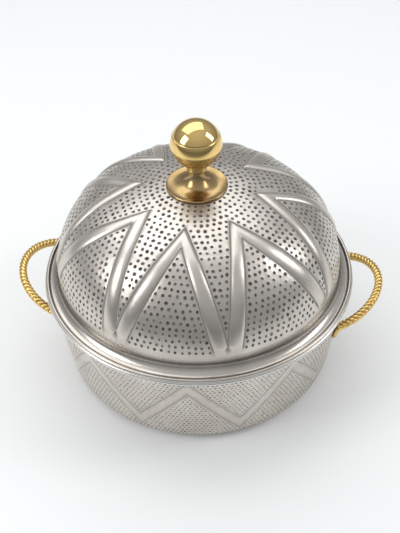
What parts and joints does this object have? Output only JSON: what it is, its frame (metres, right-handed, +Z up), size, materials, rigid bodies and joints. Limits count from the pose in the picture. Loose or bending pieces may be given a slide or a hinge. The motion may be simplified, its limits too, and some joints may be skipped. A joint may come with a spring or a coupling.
{
  "type": "insulated casserole",
  "caption": "Round double-walled steel casserole for flat breads, with a lift-off domed lid, brass ball knob and two brass rope handles.",
  "frame": {"origin": "centre of the base, on the surface that the bowl stands on", "axes": "+Z up along the axis of bowl, lid and knob; +X towards the right handle"},
  "size_m": [0.2994, 0.25, 0.2253],
  "materials": {
    "hammered_steel": "satin, hammered pattern",
    "food_steel": "satin, brushed",
    "foam": "rigid foam",
    "plug_plastic": "matte",
    "handle_brass": "polished",
    "antique_brass": "antique satin",
    "textured_brass": "stippled",
    "polished_brass": "mirror polish",
    "fastener_steel": "plain"
  },
  "bodies": {
    "bowl": {"bowl_outer_shell": "hammered_steel", "bowl_inner_pan": "food_steel", "bowl_insulation": "foam", "bowl_fill_plug": "plug_plastic", "right_handle": "handle_brass", "left_handle": "handle_brass", "right_handle_screws": "fastener_steel", "left_handle_screws": "fastener_steel", "right_handle_backings": "fastener_steel", "left_handle_backings": "fastener_steel"},
    "lid": {"lid_outer_dome": "hammered_steel", "lid_inner_cover": "food_steel", "lid_insulation": "foam", "knob_foot": "antique_brass", "knob_collar": "antique_brass", "knob_cup": "textured_brass", "knob_cap": "polished_brass", "knob_stud": "fastener_steel", "knob_washer": "fastener_steel", "knob_nut": "fastener_steel"}
  },
  "joints": [
    {"name": "lid_lift", "type": "slide", "parent": "bowl", "child": "lid", "axis": [0, 0, 1], "range_m": [0, 0.15]}
  ]
}
